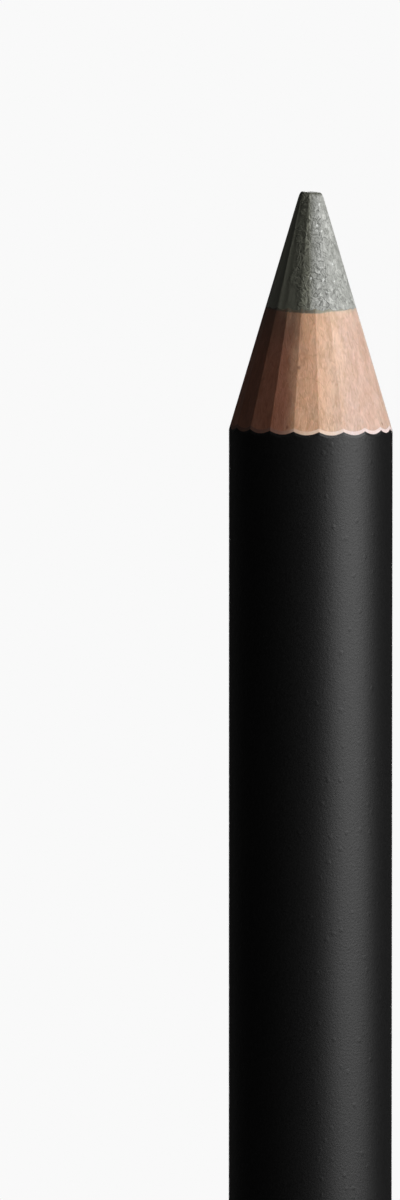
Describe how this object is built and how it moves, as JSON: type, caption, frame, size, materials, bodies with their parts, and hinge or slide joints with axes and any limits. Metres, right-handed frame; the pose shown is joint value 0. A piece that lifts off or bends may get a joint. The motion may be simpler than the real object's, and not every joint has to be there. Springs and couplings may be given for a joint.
{
  "type": "eyeliner pencil",
  "caption": "Round wood-cased cosmetic pencil with a faceted sharpened point, pearl grey core, satin black barrel, metallic ring and glossy domed end.",
  "frame": {"origin": "lowest point of the domed rear end, on the pencil's axis", "axes": "+Z along the axis towards the sharpened point, -Y towards the viewer of the picture, X in the parting plane of the two wooden halves"},
  "size_m": [0.008, 0.008, 0.125],
  "materials": {
    "pearl_wax": "pearly pressed pigment wax with fine mica",
    "cedar": "bare shaved cedar",
    "primer": "matt cream primer coat",
    "satin_lacquer": "satin black lacquer",
    "metallic_paint": "metallic grey paint",
    "gloss_lacquer": "gloss black dipped lacquer"
  },
  "bodies": {
    "root": {"pigment_core": "pearl_wax", "casing_half_front": "cedar", "casing_half_back": "cedar", "undercoat": "primer", "barrel_lacquer": "satin_lacquer", "shade_band": "metallic_paint", "end_dip": "gloss_lacquer"}
  },
  "joints": []
}
